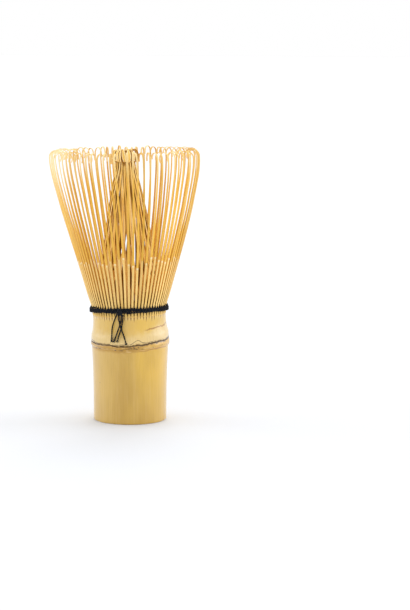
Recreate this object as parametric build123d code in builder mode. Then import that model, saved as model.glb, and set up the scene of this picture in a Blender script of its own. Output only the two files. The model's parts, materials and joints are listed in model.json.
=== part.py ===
from build123d import *
import os
from math import cos, pi, radians, sin, sqrt, tan

os.makedirs("parts", exist_ok=True)

# A bamboo tea whisk, in millimetres, standing on the cut end of its grip with the tines upwards.
# The whole bamboo part is carved from one culm: a hollow grip, the ring and diaphragm of one node,
# and a collar above it whose rim is slit. Outer tines flare from the rim and curl in at the tips.
# Inner tines close in a cone, and their thin tips are turned over into a rosette.
# A black thread binds the slit rim, with a knot and four loose ends at the front (-Y).
# The culm bends a little at its node, so everything above the node stands in a leaning frame,
# and the scar round the node runs aslant, lower at the front and higher on the right (+X).

# Culm
base_radius = 14.75
grip_top_radius = 15.45
cavity_radius = 10.8
cut_edge = 0.3
ring_bottom = 30.4
ring_radius = 15.95
ring_bore = 10.5
node_height = 33.5
scar_radius = 15.65
scar_slant = (4.5, -3.1, 0)
scar_reach = 1.9
diaphragm_thickness = 1.6
diaphragm_dish = 0.7
collar_bore = 11.2
collar_foot_radius = 15.75
waist_radius = 14.8
waist_height = 40.5
head_lean = 1.6

# Slit rim
slit_floor = 43.6
rim_top = 47.9
rim_bottom_radius = 14.9
rim_top_radius = 15.35
rim_inner_radius = 14.2
slit_width = 0.44

# Outer tines
outer_count = 72
tines_per_splint = 3
outer_width = 0.88
flex_gap = 0.12
mouth_radius = 30.6
hook_height = 107.2
hook_radius = 2.75
hook_sweep = 205
hook_thickness = 0.28
outer_face = [(rim_top_radius, rim_top + flex_gap), (19.1, 60.3), (23.55, 75.0), (27.45, 89.7)]
outer_thickness = [1.05, 0.85, 0.6, 0.42]

# Inner tines
inner_count = 72
tines_per_bundle = 6
inner_width = 0.5
inner_root = (12.6, slit_floor)
inner_line = [inner_root, (12.5, 51.0), (11.75, 58.5), (10.5, 67.0), (8.2, 82.0)]
inner_tops = [[(5.9, 95.0), (4.0, 104.9)], [(5.3, 95.0), (3.3, 104.9)]]
inner_thickness = [0.7, 0.6, 0.5, 0.42, 0.36, 0.3, 0.26]

# Rosette
rosette_bottom = 104.95
rosette_top = 110.0
rosette_radius = 5.25
rosette_hole = 0.85

# Thread
band_height = 45.5
band_slant = (-3.2, 0, 0)
band_inner_radius = 15.4
band_outer_radius = 16.05
band_width = 2.1
inner_ring_radius = 13.75
inner_ring_thickness = 0.6
crossing_diameter = 0.3
knot_azimuth = -104.1
knot_size = (1.1, 1.8, 2.4)
tail_diameter = 0.5

# The plane of the node's scar, and the leaning frame above it, whose heights count from the base.
scar = Plane.XY.offset(node_height).rotated(scar_slant)
head = Plane.XY.offset(node_height).rotated((0, -head_lean, 0)).offset(-node_height)
band = head.offset(band_height).rotated(band_slant)


def radial_plane(frame, azimuth):
    """The plane through a frame's axis whose x runs outwards and whose y runs up that axis."""
    turn = radians(azimuth)
    outwards = frame.x_dir * cos(turn) + frame.y_dir * sin(turn)
    return Plane(origin=frame.origin, x_dir=outwards, z_dir=outwards.cross(frame.z_dir))


def frame_axis(frame):
    return Axis(origin=frame.origin, direction=frame.z_dir)


def save(part, name):
    part.label = name
    export_step(part, f"parts/{name}.step")


# ---- the culm ----


def make_grip_culm():
    """The internode held in the hand: a hollow tube, swelling towards the node, open below."""
    with BuildPart() as grip:
        with BuildSketch(Plane.XZ):
            with BuildLine():
                outside = Spline(
                    (base_radius, 0), (base_radius + 0.15, 16), (grip_top_radius, ring_bottom)
                )
                Polyline(
                    outside @ 1,
                    (cavity_radius, ring_bottom),
                    (cavity_radius, 0),
                    outside @ 0,
                )
            make_face()
        revolve(axis=Axis.Z)
        cut_end = grip.edges().filter_by(GeomType.CIRCLE).group_by(Axis.Z)[0]
        chamfer(cut_end.sort_by(SortBy.LENGTH)[-1], cut_edge)
    save(grip.part, "grip_culm")


def make_node_ring():
    """The raised ridge of the node, where the wall is thickest, cut off above along the scar."""
    with BuildPart() as ring:
        with BuildSketch(Plane.XZ):
            with BuildLine():
                outside = Spline(
                    (grip_top_radius, ring_bottom),
                    (ring_radius, ring_bottom + 1.2),
                    (scar_radius, node_height + scar_reach),
                )
                Polyline(
                    outside @ 1,
                    (ring_bore, node_height + scar_reach),
                    (ring_bore, ring_bottom),
                    outside @ 0,
                )
            make_face()
        revolve(axis=Axis.Z)
        split(bisect_by=scar, keep=Keep.BOTTOM)
    save(ring.part, "node_ring")


def make_diaphragm():
    """The thin wall that closes the culm inside its node, dished on its lower side."""
    with BuildPart() as diaphragm:
        with BuildSketch(Plane.XZ):
            with BuildLine():
                low = ring_bottom + 0.3
                dish = ThreePointArc(
                    (0, low + diaphragm_dish), (ring_bore / 2, low + diaphragm_dish * 3 / 4), (ring_bore, low)
                )
                Polyline(
                    dish @ 1,
                    (ring_bore, low + diaphragm_thickness),
                    (0, low + diaphragm_thickness),
                    dish @ 0,
                )
            make_face()
        revolve(axis=Axis.Z)
    save(diaphragm.part, "node_diaphragm")


def make_split_collar():
    """The short internode above the node. Its rim is cut into a tooth for each outer tine."""
    with BuildPart() as collar:
        with BuildSketch(radial_plane(head, 0)):
            with BuildLine():
                outside = Spline(
                    (scar_radius - 0.1, node_height - scar_reach),
                    (collar_foot_radius, node_height + 0.5),
                    (waist_radius + 0.35, waist_height - 3.4),
                    (waist_radius, waist_height),
                    (rim_bottom_radius, slit_floor),
                    (rim_top_radius, rim_top),
                )
                Polyline(
                    outside @ 1,
                    (rim_inner_radius, rim_top),
                    (rim_inner_radius, slit_floor),
                    (collar_bore, slit_floor),
                    (collar_bore, node_height - scar_reach),
                    outside @ 0,
                )
            make_face()
        revolve(axis=frame_axis(head))
        split(bisect_by=scar, keep=Keep.TOP)
        slit_depth = rim_top - slit_floor
        with Locations(head.offset(slit_floor + slit_depth / 2)):
            with PolarLocations(rim_inner_radius + 0.5, outer_count, 180 / outer_count):
                Box(2.4, slit_width, slit_depth, mode=Mode.SUBTRACT)
    save(collar.part, "split_collar")


# ---- the tines ----


def beside(points, thicknesses):
    """The inner face of a tine: each point of its outer face moved square to it by the thickness."""
    moved = []
    for i, (point, thickness) in enumerate(zip(points, thicknesses)):
        before, after = points[max(i - 1, 0)], points[min(i + 1, len(points) - 1)]
        run = Vector(after[0] - before[0], after[1] - before[1]).normalized()
        moved.append((point[0] - run.Y * thickness, point[1] + run.X * thickness))
    return moved


def make_outer_splint(number):
    """One splint of the first splitting: three outer tines that flex together from the rim."""
    first = (number - 1) * tines_per_splint
    hook_x = mouth_radius - hook_radius
    foot = outer_face[0]
    inner_face = beside(outer_face, outer_thickness)
    inner_face[0] = (foot[0] - outer_thickness[0], foot[1])
    with BuildPart() as splint:
        for tine in range(first, first + tines_per_splint):
            with BuildSketch(radial_plane(head, tine * 360 / outer_count)):
                with BuildLine():
                    back = Spline(
                        *outer_face,
                        (mouth_radius, hook_height),
                        tangents=((0.26, 1), (0, 1)),
                    )
                    back_curl = CenterArc((hook_x, hook_height), hook_radius, 0, hook_sweep)
                    front = Spline(
                        *inner_face,
                        (mouth_radius - hook_thickness, hook_height),
                        tangents=((0.28, 1), (0, 1)),
                    )
                    front_curl = CenterArc(
                        (hook_x, hook_height), hook_radius - hook_thickness, 0, hook_sweep
                    )
                    Line(back @ 0, front @ 0)
                    Line(back_curl @ 1, front_curl @ 1)
                make_face()
            extrude(amount=outer_width / 2, both=True)
    save(splint.part, f"outer_tines_{number:02d}")


def make_inner_bundle(number):
    """Six neighbouring inner tines. Every second one lies deeper where the cone grows narrow."""
    first = (number - 1) * tines_per_bundle
    with BuildPart() as bundle:
        for tine in range(first, first + tines_per_bundle):
            points = inner_line + inner_tops[tine % 2]
            faces = []
            for side in (0.5, -0.5):
                faces.append(beside(points, [side * t for t in inner_thickness]))
            faces[0][0] = (inner_root[0] - inner_thickness[0] / 2, slit_floor)
            faces[1][0] = (inner_root[0] + inner_thickness[0] / 2, slit_floor)
            with BuildSketch(radial_plane(head, (tine + 0.5) * 360 / inner_count)):
                with BuildLine():
                    back = Spline(*faces[0])
                    front = Spline(*faces[1])
                    Line(back @ 0, front @ 0)
                    Line(back @ 1, front @ 1)
                make_face()
            extrude(amount=inner_width / 2, both=True)
    save(bundle.part, f"inner_tines_{number:02d}")


def make_tip_rosette():
    """The turned-over tips of the inner tines, as the ring that they fill, with its small hole."""
    mid = rosette_bottom + 2.3
    with BuildPart() as rosette:
        with BuildSketch(radial_plane(head, 0)):
            with BuildLine():
                outside = Spline(
                    (rosette_radius - 0.9, rosette_bottom),
                    (rosette_radius, mid),
                    (rosette_radius - 2.1, rosette_top),
                    (rosette_hole, rosette_top - 1.6),
                )
                Polyline(
                    outside @ 1, (rosette_hole, rosette_bottom), outside @ 0
                )
            make_face()
        revolve(axis=frame_axis(head))
    save(rosette.part, "tip_rosette")


# ---- the thread ----


def make_outer_band():
    """The turns wound round the outside of the rim, as one ring of their outer shape."""
    with BuildPart() as outer_band:
        with BuildSketch(radial_plane(band, 0)):
            thickness = band_outer_radius - band_inner_radius
            with Locations((band_inner_radius + thickness / 2, 0)):
                RectangleRounded(thickness, band_width, thickness * 0.45)
        revolve(axis=frame_axis(band))
    save(outer_band.part, "thread_outer_band")


def make_inner_ring():
    """The turns that run inside the outer tines and in front of the inner ones."""
    with BuildPart() as inner_ring:
        with BuildSketch(radial_plane(band, 0)):
            with Locations((inner_ring_radius, 0)):
                Circle(inner_ring_thickness / 2)
        revolve(axis=frame_axis(band))
    save(inner_ring.part, "thread_inner_ring")


def make_crossings():
    """The short pieces that pass through the slits, from the outer turns to the inner ones."""
    start = inner_ring_radius + inner_ring_thickness / 2 + 0.03
    with BuildPart() as crossings:
        for slit in range(outer_count):
            azimuth = (slit + 0.5) * 360 / outer_count
            outwards = radial_plane(band, azimuth)
            foot = outwards.from_local_coords((start, 0))
            with BuildSketch(Plane(origin=foot, z_dir=outwards.x_dir)):
                Circle(crossing_diameter / 2)
            extrude(amount=band_inner_radius - 0.03 - start)
    save(crossings.part, "thread_crossings")


def make_knot():
    """The knot that closes the binding, lying on the outer turns."""
    thick, wide, tall = knot_size
    place = radial_plane(band, knot_azimuth)
    centre = place.from_local_coords((band_outer_radius + 0.03 + thick / 2, 0))
    with BuildPart() as knot:
        with Locations(Plane(origin=centre, x_dir=place.x_dir, z_dir=band.z_dir)):
            Box(thick, wide, tall)
        fillet(knot.edges(), thick * 0.42)
    save(knot.part, "thread_knot")


def on_front(across, height, out):
    """A point in front of the culm, given across it, up it, and out from the leaning axis."""
    return head.from_local_coords((across, -sqrt(out**2 - across**2), height))


def bend_radii(points):
    """For each inner point, the largest arc that both of its runs leave room for."""
    radii = []
    for before, here, after in zip(points, points[1:], points[2:]):
        first, second = here - before, after - here
        turn = radians(first.get_angle(second))
        radii.append(0.45 * min(first.length, second.length) / tan(turn / 2))
    return radii


def make_tail(number, route):
    """One loose end of the thread, hanging from the knot down the front of the culm."""
    points = [on_front(*point) for point in route]
    radii = bend_radii(points)
    with BuildPart() as tail:
        with BuildLine() as path:
            FilletPolyline(*points, radius=radii)
        with BuildSketch(Plane(origin=path.line @ 0, z_dir=path.line % 0)):
            Circle(tail_diameter / 2)
        sweep(path=path.line)
    length = path.wires()[0].length
    share = tail.part.volume / (length * pi * (tail_diameter / 2) ** 2)
    print(f"tail {number}: {length:.1f} long, volume share {share:.3f}")
    print("  bend radii", [round(r, 1) for r in radii])
    save(tail.part, f"thread_tail_{number}")


# Each route lists (across, height, distance from the axis). The third end crosses the fourth
# and passes under the second.
tail_routes = [
    [(-4.95, 45.0, 16.5), (-6.1, 42.3, 15.8), (-6.95, 39.4, 15.5), (-7.2, 36.4, 15.95), (-7.35, 33.9, 16.5)],
    [(-3.1, 45.0, 16.7), (-3.45, 42.2, 16.2), (-4.35, 39.4, 16.15), (-5.5, 36.5, 16.1), (-6.5, 33.9, 16.5)],
    [(-4.05, 45.0, 16.5), (-4.1, 42.5, 15.6), (-3.5, 39.6, 15.5), (-2.4, 36.6, 15.8), (-1.7, 33.3, 16.45)],
    [(-2.45, 45.0, 16.6), (-2.75, 42.2, 16.0), (-3.4, 39.2, 16.2), (-4.4, 36.4, 16.2), (-5.15, 33.9, 16.5)],
]

make_grip_culm()
make_node_ring()
make_diaphragm()
make_split_collar()
for splint_number in range(1, outer_count // tines_per_splint + 1):
    make_outer_splint(splint_number)
for bundle_number in range(1, inner_count // tines_per_bundle + 1):
    make_inner_bundle(bundle_number)
make_tip_rosette()
make_outer_band()
make_inner_ring()
make_crossings()
make_knot()
for tail_number, tail_route in enumerate(tail_routes, 1):
    make_tail(tail_number, tail_route)
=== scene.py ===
import json
import math
import random

import bpy
import numpy as np
from mathutils import Euler, Matrix, Vector


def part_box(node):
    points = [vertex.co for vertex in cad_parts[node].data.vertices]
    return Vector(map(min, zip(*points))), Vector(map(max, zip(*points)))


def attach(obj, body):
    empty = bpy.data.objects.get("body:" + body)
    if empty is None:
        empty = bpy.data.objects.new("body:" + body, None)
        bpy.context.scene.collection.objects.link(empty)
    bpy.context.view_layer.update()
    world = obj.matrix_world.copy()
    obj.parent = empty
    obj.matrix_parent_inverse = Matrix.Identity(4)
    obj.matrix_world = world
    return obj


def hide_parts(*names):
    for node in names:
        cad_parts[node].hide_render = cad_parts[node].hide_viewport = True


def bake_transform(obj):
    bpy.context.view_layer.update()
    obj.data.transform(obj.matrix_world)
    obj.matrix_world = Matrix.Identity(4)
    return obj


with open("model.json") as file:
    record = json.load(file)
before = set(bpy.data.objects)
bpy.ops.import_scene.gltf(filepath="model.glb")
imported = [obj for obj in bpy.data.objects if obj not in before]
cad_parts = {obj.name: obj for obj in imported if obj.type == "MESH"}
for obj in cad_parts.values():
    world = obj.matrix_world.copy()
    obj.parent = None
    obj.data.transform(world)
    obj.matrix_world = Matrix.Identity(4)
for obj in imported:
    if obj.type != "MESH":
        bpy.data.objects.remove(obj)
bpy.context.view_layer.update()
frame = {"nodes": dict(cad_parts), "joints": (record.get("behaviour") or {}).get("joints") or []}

# A bamboo tea whisk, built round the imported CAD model. Lengths below are in millimetres,
# and MM turns them into metres where a mesh or an object is made.
MM = 0.001
rng = random.Random(72)

# ---- driving sizes, most of them the CAD model's ----

OUTER_COUNT = 72
INNER_COUNT = 72
TINES_PER_SPLINT = 3
TINES_PER_BUNDLE = 6
PITCH = 2 * math.pi / OUTER_COUNT

BASE_RADIUS = 14.75
GRIP_TOP_RADIUS = 15.45
CAVITY_RADIUS = 10.8
RING_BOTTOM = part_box("node_ring")[0].z / MM
RING_RADIUS = 15.95
NODE_HEIGHT = 33.5
SCAR_SLANT_FRONT = math.radians(4.5)
SCAR_SLANT_SIDE = math.radians(3.1)
HEAD_LEAN = math.radians(1.6)
RING_BORE = 10.5
COLLAR_BORE = 11.2
SLIT_FLOOR = 43.6
RIM_TOP = 47.9

OUTER_WIDTH = 0.88
MOUTH_RADIUS = 30.35
HOOK_HEIGHT = 107.2
HOOK_RADIUS = 2.75
# radii and heights of the outer tines' skin side
OUTER_FACE = [
    (14.9, SLIT_FLOOR), (15.12, 45.6), (15.55, 48.0), (16.45, 50.8),
    (19.2, 60.3), (23.5, 75.0), (27.35, 89.7),
]
# where the knife began to thin them, measured along the tine
SHAVING_STEP = 66.4
# the height at which the thread lets go of the tines
BINDING_TOP = 48.0

BAND_HEIGHT = 45.5
BAND_SLANT = math.radians(3.2)
BAND_RADIUS = 15.72
INNER_RING_RADIUS = 13.75

UP = Vector((-math.sin(HEAD_LEAN), 0, math.cos(HEAD_LEAN)))
SIDE = Vector((math.cos(HEAD_LEAN), 0, math.sin(HEAD_LEAN)))
HEAD_ORIGIN = Vector((0, 0, NODE_HEIGHT)) - UP * NODE_HEIGHT


def head_points(radius, azimuth, height):
    """Points of the leaning frame above the node, from that frame's cylinder coordinates."""
    radius, azimuth, height = np.broadcast_arrays(radius, azimuth, height)
    x, y = radius * np.cos(azimuth), radius * np.sin(azimuth)
    return (
        np.array(HEAD_ORIGIN)
        + x[..., None] * np.array(SIDE)
        + y[..., None] * np.array((0, 1, 0))
        + height[..., None] * np.array(UP)
    )


def normalized(vectors):
    return vectors / np.linalg.norm(vectors, axis=-1, keepdims=True)


def directions(path):
    return normalized(np.gradient(path, axis=0))


def run_along(path):
    """How far along its path each point is."""
    return np.concatenate([[0], np.cumsum(np.linalg.norm(np.diff(path, axis=0), axis=1))])


def curve_through(points, count, first=None, last=None):
    """count points evenly along a smooth curve through the given ones, with optional end directions."""
    points = np.array(points, float)
    knots = run_along(points)
    slopes = np.gradient(points, knots, axis=0)
    if first is not None:
        slopes[0] = normalized(np.array(first, float))
    if last is not None:
        slopes[-1] = normalized(np.array(last, float))
    along = np.linspace(0, knots[-1], count)
    span = np.clip(np.searchsorted(knots, along, side="right") - 1, 0, len(knots) - 2)
    width = knots[span + 1] - knots[span]
    t = ((along - knots[span]) / width)[:, None]
    width = width[:, None]
    return (
        points[span] * (1 + 2 * t) * (1 - t) ** 2
        + slopes[span] * width * t * (1 - t) ** 2
        + points[span + 1] * t**2 * (3 - 2 * t)
        + slopes[span + 1] * width * t**2 * (t - 1)
    )


def round_turn(count):
    """Angles evenly all the way round."""
    return np.linspace(0, 2 * math.pi, count, endpoint=False)


def smoothstep(low, high, value):
    t = np.clip((np.asarray(value, float) - low) / (high - low), 0, 1)
    return t * t * (3 - 2 * t)


# ---- meshes ----


def add_object(name, data):
    made = bpy.data.objects.new(name, data)
    bpy.context.scene.collection.objects.link(made)
    return made


class Solid:
    """Collects vertices, faces and their values for one piece, in millimetres."""

    def __init__(self):
        self.points, self.faces, self.values, self.sides = [], [], [], []

    def add(self, rings, faces, sides, seed, along, mark):
        """sides is one number for each face. The last three are values for the points of the rings,
        as numbers or as arrays that broadcast over them."""
        start = len(self.points)
        self.points.extend(map(tuple, rings.reshape(-1, 3)))
        self.values.extend(zip(*(np.broadcast_to(v, rings.shape[:2]).ravel() for v in (seed, along, mark))))
        self.faces.extend([tuple(start + i for i in face) for face in faces])
        self.sides.extend(sides)

    def piece(self, name, material, sharp=None):
        mesh = bpy.data.meshes.new(name)
        mesh.from_pydata([tuple(c * MM for c in p) for p in self.points], [], self.faces)
        for column, label in enumerate(("seed", "along", "mark")):
            attribute = mesh.attributes.new(label, "FLOAT", "POINT")
            attribute.data.foreach_set("value", [row[column] for row in self.values])
        attribute = mesh.attributes.new("side", "FLOAT", "FACE")
        attribute.data.foreach_set("value", self.sides)
        mesh.materials.append(material)
        mesh.shade_smooth()
        if sharp:
            mesh.set_sharp_from_angle(angle=math.radians(sharp))
        mesh.validate()
        return add_object(name, mesh)


def add_grid(solid, rings, sides, closed_rows, *values):
    """A surface over rings of points, each ring closed; rows also close if closed_rows."""
    rows, columns = rings.shape[:2]
    faces, face_sides = [], []
    for i in range(rows if closed_rows else rows - 1):
        below, above = i * columns, (i + 1) % rows * columns
        for j in range(columns):
            k = (j + 1) % columns
            faces.append((below + j, below + k, above + k, above + j))
            face_sides.append(sides[i])
    solid.add(rings, faces, face_sides, *values)


# what a face's value side says
SKIN, FLANK, INSIDE = 1.0, 0.0, 0.35
# a ribbon's corners, of which one is the middle of its skin
RIBBON_CORNERS = 9
SKIN_MIDDLE = 1


def on_handle(piece, node):
    """Puts a piece that doesn't move in the place of its CAD node."""
    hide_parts(node)
    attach(piece, "handle")


def add_ribbon(
    solid, path, outward, width, thickness, seed, along, mark, crown=0.015, edge=0.07, skin=SKIN
):
    """A strip of bamboo along a path, with its skin outwards and its edges broken a little. mark has
    one number for each point of the path, or a row of them for the corners round it."""
    forward = directions(path)
    outward = normalized(outward - (outward * forward).sum(1, keepdims=True) * forward)
    across = np.cross(forward, outward)
    half, deep = width / 2, thickness / 2
    cut = np.minimum(edge, thickness * 0.3)
    zero = np.zeros_like(half)
    # distances across the strip and outwards
    corners = [
        (cut - half, deep), (zero, deep + crown), (half - cut, deep),
        (half, deep - cut), (half, cut - deep),
        (half - cut, -deep), (cut - half, -deep),
        (-half, cut - deep), (-half, deep - cut),
    ]
    ring = [path + a[:, None] * across + b[:, None] * outward for a, b in corners]
    rings = np.stack(ring, axis=1)
    count = RIBBON_CORNERS
    kinds = [skin, skin, skin, FLANK, FLANK, INSIDE, FLANK, FLANK, skin]
    faces, sides = [], []
    for i in range(len(path) - 1):
        for j in range(count):
            k = (j + 1) % count
            faces.append((i * count + j, (i + 1) * count + j, (i + 1) * count + k, i * count + k))
            sides.append(kinds[j])
    last = (len(path) - 1) * count
    faces.append(tuple(range(count)))
    faces.append(tuple(last + j for j in reversed(range(count))))
    sides += [FLANK, FLANK]
    solid.add(rings, faces, sides, seed, along[:, None], mark if mark.ndim == 2 else mark[:, None])


def add_tube(solid, path, radius, seed, segments=8, closed=False):
    """A round thread along a path, either closed in a ring or with two flat ends."""
    count = len(path)
    if closed:
        forward = normalized(np.roll(path, -1, axis=0) - np.roll(path, 1, axis=0))
    else:
        forward = directions(path)
    # any direction that isn't near the path's first one will do, and it is then carried along
    steep = abs(forward[0] @ np.array(UP)) > 0.7
    current = np.array((1.0, 0.0, 0.0)) if steep else np.array(UP)
    normal = np.zeros_like(path)
    for i in range(count):
        current = current - (current @ forward[i]) * forward[i]
        current = current / np.linalg.norm(current)
        normal[i] = current
    sideways = np.cross(forward, normal)
    turns = round_turn(segments)
    radius = np.broadcast_to(radius, (count,))[:, None, None]
    rings = path[:, None] + radius * np.cos(turns)[:, None] * normal[:, None]
    rings = rings + radius * np.sin(turns)[:, None] * sideways[:, None]
    add_grid(solid, rings, [0.0] * count, closed, seed, run_along(path)[:, None], turns)
    if not closed:
        start = len(solid.points) - count * segments
        solid.faces.append(tuple(start + j for j in reversed(range(segments))))
        solid.faces.append(tuple(start + (count - 1) * segments + j for j in range(segments)))
        solid.sides += [0.0, 0.0]


# ---- materials ----


class Shader:
    """A short way to write a material's nodes."""

    def __init__(self, name):
        self.material = bpy.data.materials.new(name)
        self.material.use_nodes = True
        self.tree = self.material.node_tree
        self.surface = self.tree.nodes["Principled BSDF"]

    def node(self, kind, inputs, output=0, **settings):
        made = self.tree.nodes.new(kind)
        for key, value in settings.items():
            setattr(made, key, value)
        for key, value in inputs.items():
            self.set(made.inputs[key], value)
        return made.outputs[output]

    def set(self, socket, value):
        if isinstance(value, bpy.types.NodeSocket):
            self.tree.links.new(value, socket)
        else:
            socket.default_value = value

    def attribute(self, name):
        return self.node("ShaderNodeAttribute", {}, "Fac", attribute_name=name)

    def place(self, stretch=(1.0, 1.0, 1.0)):
        """The piece's own coordinates in millimetres, multiplied by stretch."""
        here = self.node("ShaderNodeTexCoord", {}, "Object")
        scale = tuple(s / MM for s in stretch)
        return self.node("ShaderNodeVectorMath", {0: here, 1: scale}, operation="MULTIPLY")

    def to_right(self):
        """How far to the right (+X) of the grip's axis a point is, in millimetres."""
        return self.node("ShaderNodeSeparateXYZ", {0: self.place()}, "X")

    def noise(self, stretch, detail=2.0, roughness=0.5):
        values = {"Vector": self.place(stretch), "Scale": 1.0, "Detail": detail, "Roughness": roughness}
        return self.node("ShaderNodeTexNoise", values, "Fac")

    def math(self, operation, a, b=0.0, c=0.0):
        return self.node("ShaderNodeMath", {0: a, 1: b, 2: c}, operation=operation)

    def times(self, first, *others):
        """The product of two or more values."""
        for other in others:
            first = self.math("MULTIPLY", first, other)
        return first

    def linear(self, value, slope, level):
        """value * slope + level"""
        return self.math("MULTIPLY_ADD", value, slope, level)

    def step(self, value, low, high):
        """0 below low, 1 above high, smooth between."""
        values = {"Value": value, "From Min": low, "From Max": high}
        return self.node("ShaderNodeMapRange", values, interpolation_type="SMOOTHSTEP")

    def fade(self, value, low, high):
        """1 below low, 0 above high, smooth between."""
        return self.math("SUBTRACT", 1.0, self.step(value, low, high))

    def mix(self, share, a, b, blend="MIX"):
        # a Mix node's sockets for colours go by their numbers
        values = {0: share, 6: a, 7: b}
        return self.node("ShaderNodeMix", values, 2, data_type="RGBA", blend_type=blend)

    def coat(self, color, tone, *shares):
        """tone over color, as strongly as the product of the shares says."""
        return self.mix(self.times(*shares), color, tone)

    def dots(self, stretch, size):
        """1 inside small round spots, one to a cell of the stretched space."""
        values = {"Vector": self.place(stretch), "Scale": 1.0}
        distance = self.node("ShaderNodeTexVoronoi", values, "Distance")
        return self.fade(distance, size * 0.5, size)

    def scratch(self, value, centre, width):
        """1 on a line where value is near centre, falling to 0 at width from it."""
        off = self.math("ABSOLUTE", self.math("SUBTRACT", value, centre))
        return self.fade(self.math("DIVIDE", off, width), 0.4, 1.0)

    def bump(self, height, depth, strength=0.5):
        """depth is in millimetres."""
        values = {"Height": height, "Distance": depth * MM, "Strength": strength}
        self.set(self.surface.inputs["Normal"], self.node("ShaderNodeBump", values))

    def finish(self, color, roughness, **constants):
        self.set(self.surface.inputs["Base Color"], color)
        self.set(self.surface.inputs["Roughness"], roughness)
        for key, value in constants.items():
            self.surface.inputs[key.replace("_", " ")].default_value = value
        return self.material


def rgb(red, green, blue):
    return (red, green, blue, 1.0)


# the culm's skin and its cut faces
GRIP_DEEP, GRIP_LIGHT = rgb(0.55, 0.325, 0.045), rgb(0.60, 0.365, 0.055)
COLLAR_DEEP, COLLAR_LIGHT = rgb(0.73, 0.455, 0.085), rgb(0.82, 0.535, 0.115)
STREAK_TAN = rgb(0.74, 0.50, 0.16)
# a painted highlight, golden, for the culm's right side
PAINTED_HIGHLIGHT_GOLD = rgb(0.77, 0.475, 0.05)
# painted light, pale tan, for the grip's left side
LEFT_PAINTED_LIGHT = rgb(0.76, 0.56, 0.22)
BLOOM_CREAM = rgb(0.82, 0.60, 0.25)
FIBRE_BROWN = rgb(0.36, 0.2, 0.05)
FIBRE_CREAM = rgb(0.73, 0.55, 0.28)
SPECK_BROWN = rgb(0.2, 0.11, 0.035)
CUT_BAMBOO, CUT_GRAIN = rgb(0.70, 0.50, 0.24), rgb(0.34, 0.2, 0.075)

# round the node
RIDGE_BROWN, RIDGE_GOLD = rgb(0.47, 0.245, 0.02), rgb(0.66, 0.38, 0.07)
# pale scuffs with painted highlight on the ridge
SCUFF_AND_HIGHLIGHT_TAN = rgb(0.78, 0.53, 0.19)
EDGE_RUST = rgb(0.42, 0.18, 0.03)
HALO_BROWN = rgb(0.38, 0.205, 0.05)
CRACK_BROWN = rgb(0.40, 0.17, 0.02)
SCAR_BROWN = rgb(0.075, 0.032, 0.004)

# under the slits, brown staining with painted shade deep in the splits and painted light between them, and
# the painted shade that darkens the collar's sides
SPLIT_STAIN_AND_SHADE, SPLIT_PAINTED_SHADE = rgb(0.42, 0.2, 0.025), rgb(0.2, 0.08, 0.008)
PAINTED_LIGHT_CREAM = rgb(0.98, 0.74, 0.36)
LEFT_PAINTED_SHADE, RIGHT_PAINTED_SHADE = rgb(0.87, 0.87, 0.85), rgb(0.90, 0.92, 1.04)


class CulmShader(Shader):
    """A shader of the culm, with the values that its coats of colour share. above is measured from
    the node's scar."""

    def __init__(self, name):
        super().__init__(name)
        self.above = self.attribute("along")
        self.right = self.to_right()
        self.blotch = self.noise((0.12, 0.12, 0.06), 2.0, 0.5)
        self.fibre = self.noise((2.6, 2.6, 0.07), 3.0, 0.65)
        self.mottle = self.noise((0.45, 0.45, 0.4), 4.0, 0.6)
        self.broken = self.noise((0.9, 0.9, 1.4), 3.0, 0.7)


def paint_skin(s, color, cream):
    """Tan streaks, a painted golden highlight on the right towards the node, painted light on the grip's left
    side, and the bloom above its scar.
    """
    streak = s.noise((0.5, 0.5, 0.016), 3.0, 0.6)
    color = s.coat(color, STREAK_TAN, s.step(streak, 0.46, 0.8), 0.3)
    # painted highlight: a golden stripe down the right side, from below the node upwards
    painted_highlight = s.times(s.scratch(s.right, 8.5, 9.0), s.step(s.above, -30.0, -6.0))
    color = s.coat(color, PAINTED_HIGHLIGHT_GOLD, painted_highlight, s.linear(s.step(s.blotch, 0.3, 0.7), 0.3, 0.45))
    # painted light: the grip's left side made paler
    if not cream:
        color = s.coat(color, LEFT_PAINTED_LIGHT, s.step(s.right, -1.0, -12.0), 0.22)
    from_middle = s.math("ABSOLUTE", s.math("ADD", s.right, 3.0))
    bloom = s.math("ADD", s.above, s.times(s.mottle, 5.0))
    bloom = s.math("SUBTRACT", bloom, s.times(from_middle, 0.14))
    return s.coat(color, BLOOM_CREAM, s.fade(bloom, 3.6, 8.2), cream)


def paint_fibres(s, color, cream):
    """Dark and pale upright fibres, and a few specks, which are faint on the collar."""
    color = s.coat(color, FIBRE_BROWN, s.step(s.fibre, 0.5, 0.72), 0.2)
    color = s.coat(color, FIBRE_CREAM, s.step(s.fibre, 0.5, 0.3), 0.12)
    speck = s.dots((0.2, 0.2, 0.16), 0.06)
    return s.coat(color, SPECK_BROWN, speck, s.step(s.blotch, 0.45, 0.55), 0.7 - 0.5 * cream)


def paint_ridge(s, color):
    """The node's ridge: brown, golden on the right, with pale scuffs and painted highlights, a rusty lower
    edge, and a brown halo round the scar above it."""
    ridge = s.times(s.step(s.above, -3.2, -2.2), s.fade(s.above, -0.4, 0.2), s.step(s.mottle, 0.1, 0.5))
    tone = s.mix(s.step(s.right, 1.0, 11.0), RIDGE_BROWN, RIDGE_GOLD)
    color = s.coat(color, tone, ridge, 0.85)
    # pale horizontal streaks on the ridge: scuffs, and painted highlight
    scuff_and_highlight = s.step(s.noise((0.4, 0.4, 1.6), 2.0, 0.5), 0.56, 0.66)
    color = s.coat(color, SCUFF_AND_HIGHLIGHT_TAN, ridge, scuff_and_highlight, 0.65)
    edge = s.scratch(s.above, s.linear(s.mottle, 0.9, -3.1), 0.35)
    color = s.coat(color, EDGE_RUST, edge, s.step(s.right, -2.0, 11.0), 0.85)
    halo = s.scratch(s.above, 0.1, 1.0)
    return s.coat(color, HALO_BROWN, halo, s.step(s.broken, 0.3, 0.7), 0.62)


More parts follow.
